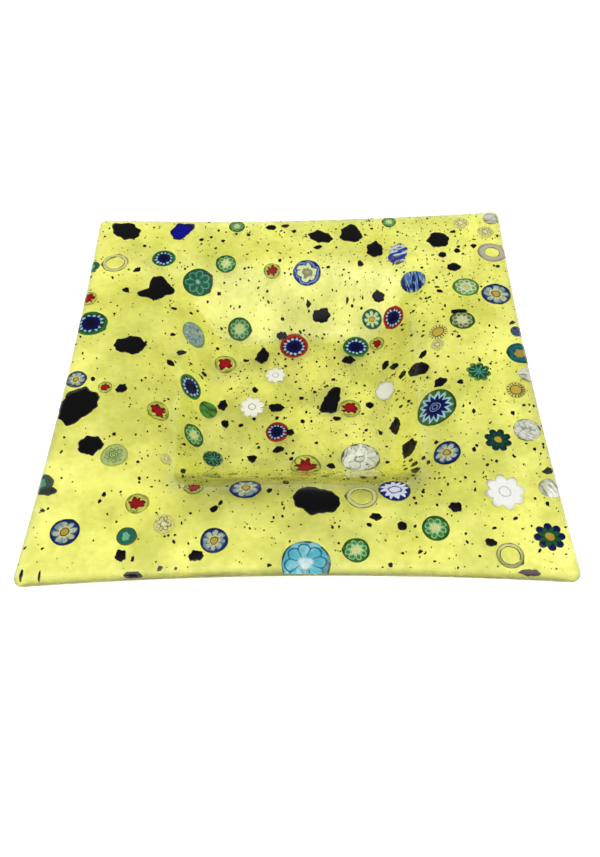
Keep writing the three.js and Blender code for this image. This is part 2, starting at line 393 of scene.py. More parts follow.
class Cane(Graph):
    """A slice of patterned cane. The mesh attribute "cane" gives place in the slice, -1 to 1, and a seed."""

    def __init__(self, name, base, wander=0.10):
        super().__init__(name, 0.1, IOR=1.5, Specular_IOR_Level=0.15)
        attribute = self.node("Attribute")
        attribute.attribute_name = "cane"
        self.place = attribute.outputs["Vector"]
        x, y, self.seed = self.split(self.place)
        drift_x, drift_y, _ = self.split(self.noise(self.place, 1.6, 1, colour=True))
        x = self.maths("MULTIPLY_ADD", self.maths("SUBTRACT", drift_x, 0.5), 4 * wander, x)
        y = self.maths("MULTIPLY_ADD", self.maths("SUBTRACT", drift_y, 0.5), 4 * wander, y)
        self.radius = self.length_of(x, y)
        self.angle = self.maths("ARCTAN2", y, x)
        self.colour = base

    def wave(self, form, lobes, phase=0.0):
        """A wave round the slice from -1 to 1: round, petal (sharp notches) or spike (a zigzag)."""
        turned = self.maths("MULTIPLY_ADD", self.angle, lobes, phase)
        if form == "round":
            return self.maths("COSINE", turned)
        if form == "petal":
            half = self.maths("ABSOLUTE", self.maths("COSINE", self.maths("MULTIPLY", turned, 0.5)))
            return self.maths("MULTIPLY_ADD", self.maths("SQRT", half), 2.0, -1.0)
        zigzag = self.maths("PINGPONG", self.maths("DIVIDE", turned, math.tau), 0.5)
        return self.maths("MULTIPLY_ADD", zigzag, 4.0, -1.0)

    def edge(self, radius, form=None, lobes=0, depth=0.0, phase=0.0):
        if form is None:
            return radius
        return self.maths("MULTIPLY_ADD", self.wave(form, lobes, phase), depth, radius)

    def inside(self, edge, soft=0.05):
        gap = self.maths("SUBTRACT", edge, self.radius)
        return self.maths("MULTIPLY_ADD", gap, 1 / soft, 0.5, clamp=True)

    def paint(self, colour, share):
        self.colour = self.mix_colours(share, self.colour, colour)

    def disc(self, colour, radius, form=None, lobes=0, depth=0.0, phase=0.0, soft=0.05):
        """Everything inside a lobed circle takes the colour."""
        self.paint(colour, self.inside(self.edge(radius, form, lobes, depth, phase), soft))

    def line(self, colour, radius, form=None, lobes=0, depth=0.0, phase=0.0, width=0.05):
        """A line along a lobed circle."""
        gap = self.maths("SUBTRACT", self.edge(radius, form, lobes, depth, phase), self.radius)
        away = self.maths("ABSOLUTE", gap)
        self.paint(colour, self.maths("MULTIPLY_ADD", away, -2 / width, 1.6, clamp=True))

    def spokes(self, colour, lobes, inner, outer, thinness=0.8, phase=0.0):
        """Radial strokes between two radii."""
        stroke = self.maths("MULTIPLY_ADD", self.wave("round", lobes, phase), 6.0, -6.0 * thinness,
                            clamp=True)
        band = self.maths("MULTIPLY", self.inside(outer), self.maths("SUBTRACT", 1.0, self.inside(inner)))
        self.paint(colour, self.maths("MULTIPLY", stroke, band))

    def petals(self, colour, count, reach, length, width, rim=None, rim_width=0.3, phase=0.0):
        """Oval petals round the middle, at a reach from it, each with a rim if one is given."""
        turns = self.maths("MULTIPLY_ADD", self.angle, count / math.tau, phase)
        off_axis = self.maths("MULTIPLY", self.maths("PINGPONG", turns, 0.5), math.tau / count)
        u = self.maths("SUBTRACT", self.maths("MULTIPLY", self.radius, self.maths("COSINE", off_axis)), reach)
        v = self.maths("MULTIPLY", self.radius, self.maths("SINE", off_axis))
        u, v = self.maths("DIVIDE", u, length / 2), self.maths("DIVIDE", v, width / 2)
        away = self.length_of(u, v)
        inside = self.maths("MULTIPLY_ADD", away, -6.0, 6.5, clamp=True)
        if rim:
            self.paint(rim, inside)
            inside = self.maths("MULTIPLY_ADD", away, -6.0, 6.0 * (1 - rim_width) + 0.5, clamp=True)
        self.paint(colour, inside)

    def streaks(self, colour, stretch, low=0.5, high=0.62):
        """Streaks of colour drawn out along the slice's y."""
        mapping = self.node("Mapping", Scale=stretch, Vector=self.place)
        value = self.noise(mapping.outputs[0], 1.0, 2)
        share = self.maths("DIVIDE", self.maths("SUBTRACT", value, low), high - low, clamp=True)
        self.paint(colour, share)

    def finish(self, shade=0.35, mood=0.35):
        """Cloudy light and dark in the glass and from slice to slice, and the colour handed on."""
        cloud = self.noise(self.place, 5.0, 4)
        tone = self.maths("MULTIPLY_ADD", cloud, 2 * shade * CANE_TONE, (1 - shade) * CANE_TONE)
        chance = self.node("TexWhiteNoise")
        chance.noise_dimensions = "1D"
        self.fill(chance, W=self.seed)
        tone = self.maths("MULTIPLY", tone,
                          self.maths("MULTIPLY_ADD", chance.outputs["Value"], mood, 1 - mood / 2))
        shaded = self.mix_colours(1.0, self.colour, tone, "MULTIPLY")
        self.fill(self.shader, Base_Color=shaded)
        self.bump(self.noise(self.place, 4.0, 2), 0.15, 0.0002)
        return self.material


def green_daisy(name, ring, band, petal, loop, eye):
    cane = Cane(f"{name}_daisy_cane", ring, wander=0.07)
    cane.disc(band, 0.88, soft=0.12)
    cane.petals(loop, 8, 0.60, 0.44, 0.42, rim=petal, rim_width=0.30)
    cane.disc(petal, 0.45, "spike", 8, 0.09)
    cane.disc(eye, 0.36, "spike", 8, 0.08)
    return cane.finish()


def yellow_eyed_daisy():
    cane = Cane("yellow_eyed_daisy_cane", rgb(26, 76, 44), wander=0.07)
    cane.petals(rgb(190, 204, 150), 8, 0.58, 0.52, 0.40, rim=rgb(90, 150, 130))
    cane.disc(rgb(214, 214, 130), 0.42, soft=0.1)
    cane.disc(rgb(196, 172, 72), 0.27)
    cane.line(rgb(112, 84, 30), 0.27, width=0.08)
    return cane.finish()


def starburst(name, ring, inner_ring, core, teeth=13):
    cane = Cane(f"{name}_starburst_cane", ring, wander=0.08)
    cane.disc(inner_ring, 0.84, soft=0.12)
    cane.disc(rgb(168, 204, 212), 0.68, "spike", teeth, 0.11, soft=0.04)
    cane.disc(core, 0.60, "round", teeth, 0.03)
    cane.disc(rgb(5, 6, 36), 0.36, soft=0.2)
    return cane.finish()


def large_starburst():
    cane = Cane("large_starburst_cane", rgb(24, 62, 36), wander=0.05)
    cane.disc(rgb(62, 98, 40), 0.93, soft=0.1)
    cane.disc(rgb(150, 192, 196), 0.76, "spike", 13, 0.14, soft=0.03)
    cane.disc(rgb(10, 20, 92), 0.58, "spike", 13, 0.14, phase=0.4, soft=0.05)
    cane.disc(rgb(6, 10, 60), 0.44, soft=0.15)
    cane.line(rgb(120, 146, 190), 0.25, width=0.04)
    cane.line(rgb(120, 146, 190), 0.13, width=0.04)
    return cane.finish()


def blue_daisy():
    cane = Cane("blue_daisy_cane", rgb(12, 24, 84), wander=0.08)
    cane.disc(rgb(20, 52, 112), 0.90, soft=0.1)
    cane.petals(rgb(178, 186, 158), 8, 0.56, 0.62, 0.46, rim=rgb(62, 92, 126), rim_width=0.24)
    cane.streaks(rgb(120, 146, 156), (2.0, 2.0, 1.0), 0.54, 0.64)
    cane.line(rgb(12, 24, 84), 0.98, width=0.26)
    cane.disc(rgb(204, 204, 140), 0.40, "petal", 8, 0.06)
    cane.disc(rgb(184, 160, 72), 0.25)
    cane.line(rgb(82, 70, 30), 0.27, width=0.07)
    return cane.finish()


def red_star():
    cane = Cane("red_star_cane", rgb(118, 132, 44), wander=0.18)
    cane.disc(rgb(200, 204, 84), 0.90, soft=0.12)
    cane.disc(rgb(212, 212, 90), 0.72, soft=0.3)
    cane.line(rgb(96, 116, 40), 0.74, "round", 3, 0.10, width=0.05)
    cane.petals(rgb(112, 10, 20), 7, 0.44, 0.50, 0.42, rim=rgb(44, 40, 18), rim_width=0.22)
    cane.disc(rgb(158, 20, 28), 0.44, soft=0.3)
    return cane.finish(shade=0.2, mood=0.3)


def white_daisy(name, glass, ring):
    cane = Cane(f"{name}_white_cane", rgb(234, 236, 208), wander=0.04)
    cane.disc(glass, 0.92, soft=0.2)
    cane.line(ring, 0.30, width=0.06)
    return cane.finish(shade=0.10, mood=0.0)


def dark_flower(name, edge, leaf):
    cane = Cane(f"{name}_dark_flower_cane", edge, wander=0.06)
    cane.petals(leaf, 8, 0.56, 0.56, 0.36, rim=rgb(14, 44, 60), rim_width=0.2)
    cane.disc(leaf, 0.50, soft=0.1)
    cane.spokes(rgb(12, 48, 34), 8, 0.30, 0.66, 0.90, phase=math.pi)
    cane.disc(rgb(190, 152, 56), 0.29)
    return cane.finish()


RING_HOLE = 0.68  # a ring's hole, as a share of its size
NARROW_RING_HOLE = 0.50


def clear_ring(name, body, inner, line, hole=RING_HOLE):
    """A ring whose hole is plain glass, with a thin dark outline on both sides."""
    cane = Cane(f"{name}_ring_cane", line, wander=0.04)
    cane.disc(body, 0.94, soft=0.03)
    cane.disc(inner, 0.80, soft=0.15)
    cane.disc(line, hole + 0.05, "round", 17, 0.012, soft=0.03)
    return cane.finish(shade=0.2)


def pale_flower():
    cane = Cane("pale_flower_cane", rgb(90, 96, 72), wander=0.14)
    cane.disc(rgb(216, 220, 190), 0.95, soft=0.04)
    cane.petals(rgb(234, 236, 216), 7, 0.56, 0.66, 0.46, rim=rgb(92, 100, 76), rim_width=0.10)
    cane.streaks(rgb(246, 248, 232), (1.2, 3.0, 1.0), 0.52, 0.58)
    cane.streaks(rgb(70, 82, 56), (4.0, 6.0, 1.0), 0.66, 0.69)
    cane.line(rgb(110, 118, 92), 0.20, width=0.04)
    return cane.finish(shade=0.2)


def ice_flower():
    cane = Cane("ice_flower_cane", rgb(124, 158, 120), wander=0.14)
    cane.disc(rgb(150, 182, 168), 0.88, soft=0.2)
    cane.petals(rgb(104, 140, 160), 9, 0.52, 0.50, 0.26, rim=rgb(160, 188, 178), rim_width=0.3)
    cane.streaks(rgb(186, 206, 190), (3.0, 3.0, 1.0), 0.56, 0.62)
    return cane.finish()


def teal_flower():
    cane = Cane("teal_flower_cane", rgb(58, 70, 20), wander=0.05)
    cane.disc(rgb(20, 84, 56), 0.92, soft=0.06)
    cane.petals(rgb(20, 100, 72), 7, 0.54, 0.56, 0.50, rim=rgb(112, 180, 142), rim_width=0.16)
    cane.disc(rgb(24, 92, 60), 0.36, soft=0.15)
    cane.spokes(rgb(12, 58, 40), 7, 0.16, 0.64, 0.80)
    cane.disc(rgb(130, 196, 176), 0.13, "spike", 8, 0.07)
    return cane.finish()


def sage_flower():
    cane = Cane("sage_flower_cane", rgb(160, 178, 84), wander=0.08)
    cane.disc(rgb(182, 200, 122), 0.90, soft=0.2)
    cane.petals(rgb(166, 186, 114), 9, 0.52, 0.40, 0.32, rim=rgb(62, 92, 46), rim_width=0.22)
    cane.line(rgb(70, 100, 50), 0.27, width=0.06)
    cane.line(rgb(70, 100, 50), 0.12, width=0.06)
    return cane.finish()


def turquoise_petals():
    cane = Cane("turquoise_petal_cane", rgb(24, 56, 48), wander=0.04)
    cane.disc(rgb(96, 190, 206), 0.93)
    cane.streaks(rgb(150, 214, 224), (2.2, 1.2, 1.0), 0.50, 0.62)
    cane.line(rgb(34, 116, 138), 0.72, "petal", 8, 0.12, width=0.07)
    cane.spokes(rgb(30, 104, 128), 8, 0.30, 0.74, 0.85, phase=math.pi)
    cane.disc(rgb(216, 240, 244), 0.27, "round", 3, 0.05, soft=0.12)
    return cane.finish()


def striped_cane(name, base, stripe, second, stretch):
    cane = Cane(f"{name}_cane", base, wander=0.05)
    cane.streaks(stripe, stretch, 0.46, 0.52)
    cane.streaks(second, tuple(2 * s for s in stretch), 0.56, 0.60)
    return cane.finish(shade=0.3)


def white_star_on_blue():
    cane = Cane("white_star_cane", rgb(18, 36, 110))
    cane.disc(rgb(228, 232, 246), 0.74, "spike", 12, 0.16, soft=0.03)
    cane.line(rgb(40, 52, 130), 0.36, "round", 12, 0.02, width=0.08)
    cane.disc(rgb(232, 236, 246), 0.30)
    return cane.finish(shade=0.2)


def cream_flower_on_cobalt():
    cane = Cane("cream_flower_cane", rgb(8, 10, 120), wander=0.16)
    cane.disc(rgb(110, 140, 170), 0.84, "petal", 6, 0.08, soft=0.08)
    cane.disc(rgb(16, 20, 132), 0.74, "petal", 6, 0.08)
    cane.disc(rgb(206, 216, 150), 0.60, "petal", 6, 0.14)
    cane.disc(rgb(118, 130, 100), 0.34, "petal", 6, 0.08)
    cane.disc(rgb(176, 160, 90), 0.14)
    return cane.finish()


def fringed_amber_eye():
    cane = Cane("amber_eye_cane", rgb(226, 222, 124), wander=0.06)
    cane.spokes(rgb(60, 62, 24), 17, 0.62, 0.95, 0.35)
    cane.disc(rgb(190, 180, 90), 0.66, soft=0.10)
    cane.disc(rgb(204, 172, 64), 0.58)
    cane.line(rgb(104, 88, 32), 0.58, width=0.10)
    return cane.finish(shade=0.15, mood=0.1)


def fern_flower(name, edge, leaf, vein):
    cane = Cane(f"{name}_fern_cane", edge)
    cane.disc(leaf, 0.84, "petal", 9, 0.10)
    cane.spokes(vein, 9, 0.30, 0.78, 0.80)
    cane.disc(rgb(60, 140, 130), 0.28, "spike", 6, 0.14)
    return cane.finish()


def small_pale_flower():
    cane = Cane("small_pale_cane", rgb(222, 218, 130), wander=0.10)
    cane.petals(rgb(226, 224, 150), 8, 0.54, 0.56, 0.40, rim=rgb(84, 84, 46), rim_width=0.34)
    cane.streaks(rgb(224, 220, 140), (5.0, 5.0, 1.0), 0.50, 0.56)
    cane.disc(rgb(238, 236, 196), 0.20)
    return cane.finish(shade=0.15, mood=0.1)


def teal_eye(name, edge, band, core):
    cane = Cane(f"{name}_eye_cane", edge, wander=0.14)
    cane.disc(band, 0.86, soft=0.12)
    cane.line(rgb(30, 110, 100), 0.62, "petal", 6, 0.06, width=0.16)
    cane.disc(core, 0.40, "petal", 5, 0.07)
    return cane.finish()


def plain_chip(name, colour, edge):
    cane = Cane(f"{name}_glass", edge)
    cane.disc(colour, 0.86, soft=0.3)
    return cane.finish(shade=0.12)


def black_glass():
    """Nearly opaque black glass, with a trace of brown and blue where it thins."""
    graph = Graph("black_glass", 0.07, IOR=1.5, Specular_IOR_Level=0.2)
    cloud = graph.noise(graph.position(), 90, 3)
    graph.fill(graph.shader, Base_Color=graph.mix_colours(cloud, rgb(8, 3, 3), rgb(2, 4, 9)))
    graph.bump(graph.noise(graph.position(), 220, 2), 0.2, 0.0002)
    return graph.material


def frit_glass(name, brown, black):
    graph = Graph(name, 0.15, IOR=1.5, Specular_IOR_Level=0.2)
    cloud = graph.noise(graph.position(), 400, 2)
    graph.fill(graph.shader, Base_Color=graph.mix_colours(cloud, brown, black))
    return graph.material


# ---------------------------------------------------------------- pieces set in the glass


class Place:
    """The tangent frame of a point on the upper face: out is square to the glass."""

    def __init__(self, x, y):
        self.origin = np.array([x, y, float(face_height(np.float64(x), np.float64(y)))])
        self.out = face_normal(np.float64(x), np.float64(y))
        across = np.array([1.0, 0.0, 0.0])
        across -= self.out * across.dot(self.out)
        self.across = across / np.linalg.norm(across)
        self.along = np.cross(self.out, self.across)

    def to_plane(self, points):
        away = np.asarray(points) - self.origin
        return np.column_stack([away @ self.across, away @ self.along])


LEAST_INSET = 0.12
SETTLING_ROUNDS = 4


def keep_inside(points):
    """Brings points that lie beyond the outline to just inside it."""
    limit_x, limit_y = outline_limits(points[:, 0], points[:, 1])
    points[:, 0] = np.clip(points[:, 0], LEAST_INSET - limit_x, limit_x - LEAST_INSET)
    points[:, 1] = np.clip(points[:, 1], LEAST_INSET - limit_y, limit_y - LEAST_INSET)


def onto_face(place, u, v, proud):
    """Points of the tangent plane carried to the rippled face, then stood proud of it or sunk in it."""
    points = place.origin + np.outer(u, place.across) + np.outer(v, place.along)
    for _ in range(SETTLING_ROUNDS):
        keep_inside(points)
        lift = (face_height(points[:, 0], points[:, 1]) - points[:, 2]) * place.out[2]
        points += np.outer(lift, place.out)
    keep_inside(points)
    points[:, 2] = face_height(points[:, 0], points[:, 1])
    on_face = place.to_plane(points)
    return points + face_normal(points[:, 0], points[:, 1]) * proud[:, None], on_face


RING_SHARES = (0.2, 0.4, 0.6, 0.78, 0.90, 0.97)
PROUD = 0.04  # how far a piece stands out of the glass, but for its edge, which is sunk
SUNK_EDGE = 0.03


def inlay_points(place, angles, radii, dome, depth, spin, seed):
    """A piece set in the glass, from its outline in polar form: points, and its "cane" attribute."""
    size = radii.mean()
    rings = []
    for share in RING_SHARES:
        rings.append((share, dome * (1 - share**2) + PROUD - (PROUD + SUNK_EDGE) * share**6))
    rings += [(1.0, -2 * SUNK_EDGE), (0.90, -depth * 0.5), (0.72, -depth)]
    lift_of = np.concatenate([[dome + PROUD], *[np.full(len(angles), lift) for _, lift in rings], [-depth]])
    turn = np.concatenate([[0.0], *[angles for _ in rings], [0.0]])
    reach = np.concatenate([[0.0], *[radii * share for share, _ in rings], [0.0]])
    points, on_face = onto_face(place, reach * np.cos(turn), reach * np.sin(turn), lift_of)
    cos_spin, sin_spin = math.cos(spin), math.sin(spin)
    cane = np.column_stack([
        (on_face[:, 0] * cos_spin - on_face[:, 1] * sin_spin) / size,
        (on_face[:, 0] * sin_spin + on_face[:, 1] * cos_spin) / size,
        np.full(len(points), seed),
    ])
    return points, ring_faces(len(rings), len(angles)), cane


RING_LIP = 0.04  # from a ring's edge to where it comes level with the glass, as a share of its size
RING_EDGE = -0.16


def annulus_points(place, angles, radii, hole, dome, depth, seed):
    """A ring set in the glass, with its hole open."""
    size = radii.mean()
    inner_lip, outer_lip = hole + RING_LIP, 1 - RING_LIP
    stops = [(hole, RING_EDGE), (inner_lip, 0.0), ((hole + 1) / 2, dome), (outer_lip, 0.0),
             (1.0, RING_EDGE), (outer_lip, -depth), (inner_lip, -depth)]
    around = len(angles)
    reach = np.concatenate([radii * share for share, _ in stops])
    lift = np.concatenate([np.full(around, height) for _, height in stops])
    turn = np.tile(angles, len(stops))
    points, on_face = onto_face(place, reach * np.cos(turn), reach * np.sin(turn), lift)
    cane = np.column_stack([on_face / size, np.full(len(points), seed)])
    faces = []
    for stop in range(len(stops)):
        for k in range(around):
            after = (k + 1) % around
            inner, outer = stop * around, (stop + 1) % len(stops) * around
            faces.append((inner + k, outer + k, outer + after, inner + after))
    return points, faces, cane


def joined(parts):
    """Several bodies as one list of points, faces and attribute values."""
    points, faces, values = [], [], []
    for part_points, part_faces, part_values in parts:
        start = sum(len(p) for p in points)
        points.append(part_points)
        values.append(part_values)
        faces += [tuple(start + corner for corner in face) for face in part_faces]
    return np.vstack(points), faces, np.vstack(values)


def inlay_piece(name, parts, material, replaces=()):
    points, faces, cane = joined(parts)
    piece = new_piece(name, points, faces, material, replaces)
    attribute = piece.data.attributes.new("cane", "FLOAT_VECTOR", "POINT")
    attribute.data.foreach_set("vector", cane.astype(np.float32).ravel())
    return piece


AROUND = np.linspace(0, math.tau, 64, endpoint=False)  # the ways from its middle to an outline's points


def round_outline(rng, diameter, lobes=0, notch=0.0, tail=0.0):
    """A slice's outline in polar form: nearly round, with lobes or with a drawn-out tail."""
    radii = np.ones(len(AROUND))
    for order, size in ((2, 0.035), (3, 0.02), (5, 0.01)):
        radii += rng.uniform(0, size) * np.cos(order * AROUND + rng.uniform(0, math.tau))
    if lobes:
        petal = np.abs(np.cos(lobes * AROUND / 2 + rng.uniform(0, math.tau)))
        radii *= 1 - notch * (1 - petal) ** 1.5
    for _ in range(rng.randint(0, 2) if tail else 0):
        gap = np.angle(np.exp(1j * (AROUND - rng.uniform(0, math.tau))))
        radii += rng.uniform(0.4, 1) * tail * np.exp(-(gap / 0.16) ** 2)
    return AROUND, radii * diameter / 2


def shard_outline(rng, corners, jag=0.08):
    """A shard's outline in polar form, from corners about its middle, with its corners worn off."""
    corners = np.asarray(corners, float)
    radii = np.empty(len(AROUND))
    closed = np.vstack([corners, corners[:1]])
    for k, angle in enumerate(AROUND):
        way = np.array([math.cos(angle), math.sin(angle)])
        best = 0.0
        for start, end in zip(closed[:-1], closed[1:]):
            side = end - start
            cross = way[0] * side[1] - way[1] * side[0]
            if abs(cross) < 1e-9:
                continue
            distance = (start[0] * side[1] - start[1] * side[0]) / cross
            share = (start[0] * way[1] - start[1] * way[0]) / cross
            if distance > 0 and -1e-6 <= share <= 1 + 1e-6:
                best = max(best, distance)
        radii[k] = best
    for order in (5, 8, 13, 19):
        height = rng.uniform(0.3, 1) * jag * 5 / order
        radii *= 1 + height * np.cos(order * AROUND + rng.uniform(0, math.tau))
    worn = (np.roll(radii, 1) + 4 * radii + np.roll(radii, -1)) / 6
    return AROUND, worn


MOST_LEAN = 0.12  # how far a side may lean and still count as square to the glass, as a cosine


def side_faces(node):
    """Centres, normals and points of a CAD piece's faces that stand square to the glass, in mm."""
    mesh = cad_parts[node].data
    points = np.array([v.co for v in mesh.vertices]) / MM
    middle = (points.min(0) + points.max(0)) / 2
    out = face_normal(middle[0], middle[1])
    centres, normals, corners = [], [], []
    for face in mesh.polygons:
        normal = np.array(face.normal)
        if abs(normal @ out) < MOST_LEAN:
            centres.append(np.array(face.center) / MM)
            normals.append(normal)
            corners += [points[i] for i in face.vertices]
    return middle, np.array(centres), np.array(normals), np.array(corners)


def disc_of(node):
    """The place and diameter of a round CAD piece, whole or cut by the dish's edge."""
    middle, centres, normals, _ = side_faces(node)
    rough = Place(middle[0], middle[1])
    flat = rough.to_plane(centres)
    ways = np.column_stack([normals @ rough.across, normals @ rough.along])
    rows = np.vstack([
        np.column_stack([np.ones(len(flat)), np.zeros(len(flat)), ways[:, 0]]),
        np.column_stack([np.zeros(len(flat)), np.ones(len(flat)), ways[:, 1]]),
    ])
    u, v, radius = np.linalg.lstsq(rows, np.concatenate([flat[:, 0], flat[:, 1]]), rcond=None)[0]
    point = rough.origin + u * rough.across + v * rough.along
    return Place(point[0], point[1]), 2 * radius


def corners_of(node):
    """The place of a shaped CAD piece and its outline's corners about that place."""
    middle, _, _, corners = side_faces(node)
    rough = Place(middle[0], middle[1])
    depth = (rough.origin - corners) @ rough.out
    upper = corners[depth < np.median(depth)]
    flat = np.unique(np.round(rough.to_plane(upper), 1), axis=0)
    centre = (flat.max(0) + flat.min(0)) / 2
    point = rough.origin + centre[0] * rough.across + centre[1] * rough.along
    flat = flat - centre
    order = np.argsort(np.arctan2(flat[:, 1], flat[:, 0]))
    return Place(point[0], point[1]), flat[order]


DEPTH = 2.6
DOME = 0.10

CLEAR = glass_material("clear_glass", rgb(255, 255, 255), rgb(236, 238, 222), 0.02, 0.97)
YELLOW = glass_material("yellow_glass", rgb(255, 255, 250), rgb(226, 227, 196), 0.30, 0.92,
                        absorbing=(0.998, 0.996, 0.02, 1), density=480.0)

BLACK = black_glass()
FRIT = frit_glass("frit_glass", rgb(34, 12, 6), rgb(12, 8, 6))
MAROON = frit_glass("maroon_glass", rgb(84, 14, 8), rgb(30, 8, 6))

# Node name before its number: material, lobes, notch depth, tail.
SLICE_LOOKS = {
    "green_daisy_murrina": (green_daisy("green", rgb(24, 74, 16), rgb(50, 112, 34), rgb(160, 205, 146),
                                        rgb(66, 132, 64), rgb(210, 216, 140)), 0, 0, 0.08),
    "green_starburst_murrina": (starburst("green", rgb(46, 118, 52), rgb(18, 68, 44), rgb(10, 12, 96)),
                                0, 0, 0.12),
    "red_starburst_murrina": (starburst("red", rgb(176, 44, 26), rgb(96, 14, 20), rgb(10, 14, 92), 14),
                              0, 0, 0.12),
    "blue_daisy_murrina": (blue_daisy(), 0, 0, 0.05),
    "red_star_murrina": (red_star(), 0, 0, 0.04),
    "white_daisy_murrina": (white_daisy("ivory", rgb(250, 250, 234), rgb(150, 152, 116)), 8, 0.34, 0),
    "dark_flower_murrina": (dark_flower("navy", rgb(10, 20, 84), rgb(28, 92, 46)), 8, 0.30, 0),
    "clear_ring_murrina": (clear_ring("straw", rgb(206, 206, 138), rgb(214, 214, 140), rgb(96, 96, 46)),
                           0, 0, 0.12),
    "pale_flower_murrina": (pale_flower(), 0, 0, 0.05),
    "teal_flower_murrina": (teal_flower(), 0, 0, 0.10),
    "turquoise_petal_murrina": (turquoise_petals(), 0, 0, 0),
    "striped_cane_murrina": (
        striped_cane("striped", rgb(14, 30, 96), rgb(74, 120, 176), rgb(170, 190, 150), (5, 0.8, 1)),
        0, 0, 0.04),
    "blue_flower_murrina": (white_star_on_blue(), 0, 0, 0.08),
    "white_chip": (plain_chip("white", rgb(236, 238, 222), rgb(204, 204, 170)), 0, 0, 0),
    "cobalt_chip": (plain_chip("cobalt", rgb(6, 8, 150), rgb(8, 8, 96)), 0, 0, 0),
    "black_shard": (BLACK, 0, 0, 0),
}

# Single slices whose pattern differs from the rest of their kind.
SPECIAL_LOOKS = {
    "white_daisy_murrina_3": white_daisy("bright", rgb(255, 255, 250), rgb(206, 208, 196)),
    "dark_flower_murrina_2": dark_flower("fir", rgb(8, 44, 46), rgb(14, 70, 46)),
    "dark_flower_murrina_3": fern_flower("leafy", rgb(96, 140, 84), rgb(18, 74, 40), rgb(120, 176, 128)),
    "clear_ring_murrina_4": clear_ring("lilac", rgb(176, 172, 158), rgb(196, 194, 160), rgb(120, 118, 96),
                                       hole=NARROW_RING_HOLE),
    "green_daisy_murrina_6": green_daisy("olive", rgb(74, 84, 20), rgb(60, 104, 40), rgb(214, 222, 176),
                                         rgb(96, 128, 60), rgb(226, 222, 160)),
    "green_daisy_murrina_7": green_daisy("lime", rgb(66, 112, 34), rgb(104, 156, 66), rgb(222, 232, 200),
                                         rgb(116, 166, 84), rgb(190, 200, 120)),
    "green_starburst_murrina_5": large_starburst(),
    "teal_flower_murrina_2": sage_flower(),
    "pale_flower_murrina_3": ice_flower(),
    "blue_flower_murrina_2": cream_flower_on_cobalt(),
    "striped_cane_murrina_2": striped_cane(
        "green_bud", rgb(34, 84, 30), rgb(70, 150, 56), rgb(96, 82, 34), (3, 0.9, 1)),
    "striped_cane_murrina_3": striped_cane(
        "banded", rgb(28, 50, 150), rgb(196, 206, 206), rgb(104, 92, 40), (3.2, 0.7, 1)),
}
RING_HOLES = {"clear_ring_murrina_4": NARROW_RING_HOLE}
RING_DEPTH = 0.8
TAKEN = []  # x, y and radius of every piece set in the glass so far


def make_inlay(node):
    """The piece that stands for one CAD inlay, in the CAD inlay's place and size."""
    kind = node.rstrip("0123456789").rstrip("_")
    material, lobes, notch, tail = SLICE_LOOKS[kind]
    material = SPECIAL_LOOKS.get(node, material)
    rng = random.Random(node)
    shaped = kind in ("white_chip", "cobalt_chip", "black_shard") or node == "striped_cane_murrina_3"
    if shaped:
        place, corners = corners_of(node)
        angles, radii = shard_outline(rng, corners)
    else:
        place, diameter = disc_of(node)
        angles, radii = round_outline(rng, diameter, lobes, notch, tail)
    seed = rng.uniform(0, 40)
    TAKEN.append((place.origin[0], place.origin[1], radii.mean()))
    if kind == "clear_ring_murrina":
        part = annulus_points(place, angles, radii, RING_HOLES.get(node, RING_HOLE), DOME, RING_DEPTH, seed)
    else:
        part = inlay_points(place, angles, radii, DOME, DEPTH, rng.uniform(0, math.tau), seed)
    inlay_piece(f"{node}_fused", [part], material, replaces=[node])


slumped_sheet("clear_top_sheet", 0, EDGE_ROUND + SEAM_OVERLAP / 2, UPPER_WAVES, UPPER_WAVES, CLEAR)
slumped_sheet("yellow_base_sheet", EDGE_ROUND - SEAM_OVERLAP / 2, GLASS, UPPER_WAVES, LOWER_WAVES, YELLOW)
for cad_node in sorted(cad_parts):
    if "sheet" not in cad_node:
        make_inlay(cad_node)

# ---------------------------------------------------------------- slices and shards under 12 mm

GREEN_CANE = SLICE_LOOKS["green_daisy_murrina"][0]
BLUE_CANE = SLICE_LOOKS["blue_daisy_murrina"][0]
STAR_CANE = SLICE_LOOKS["red_star_murrina"][0]

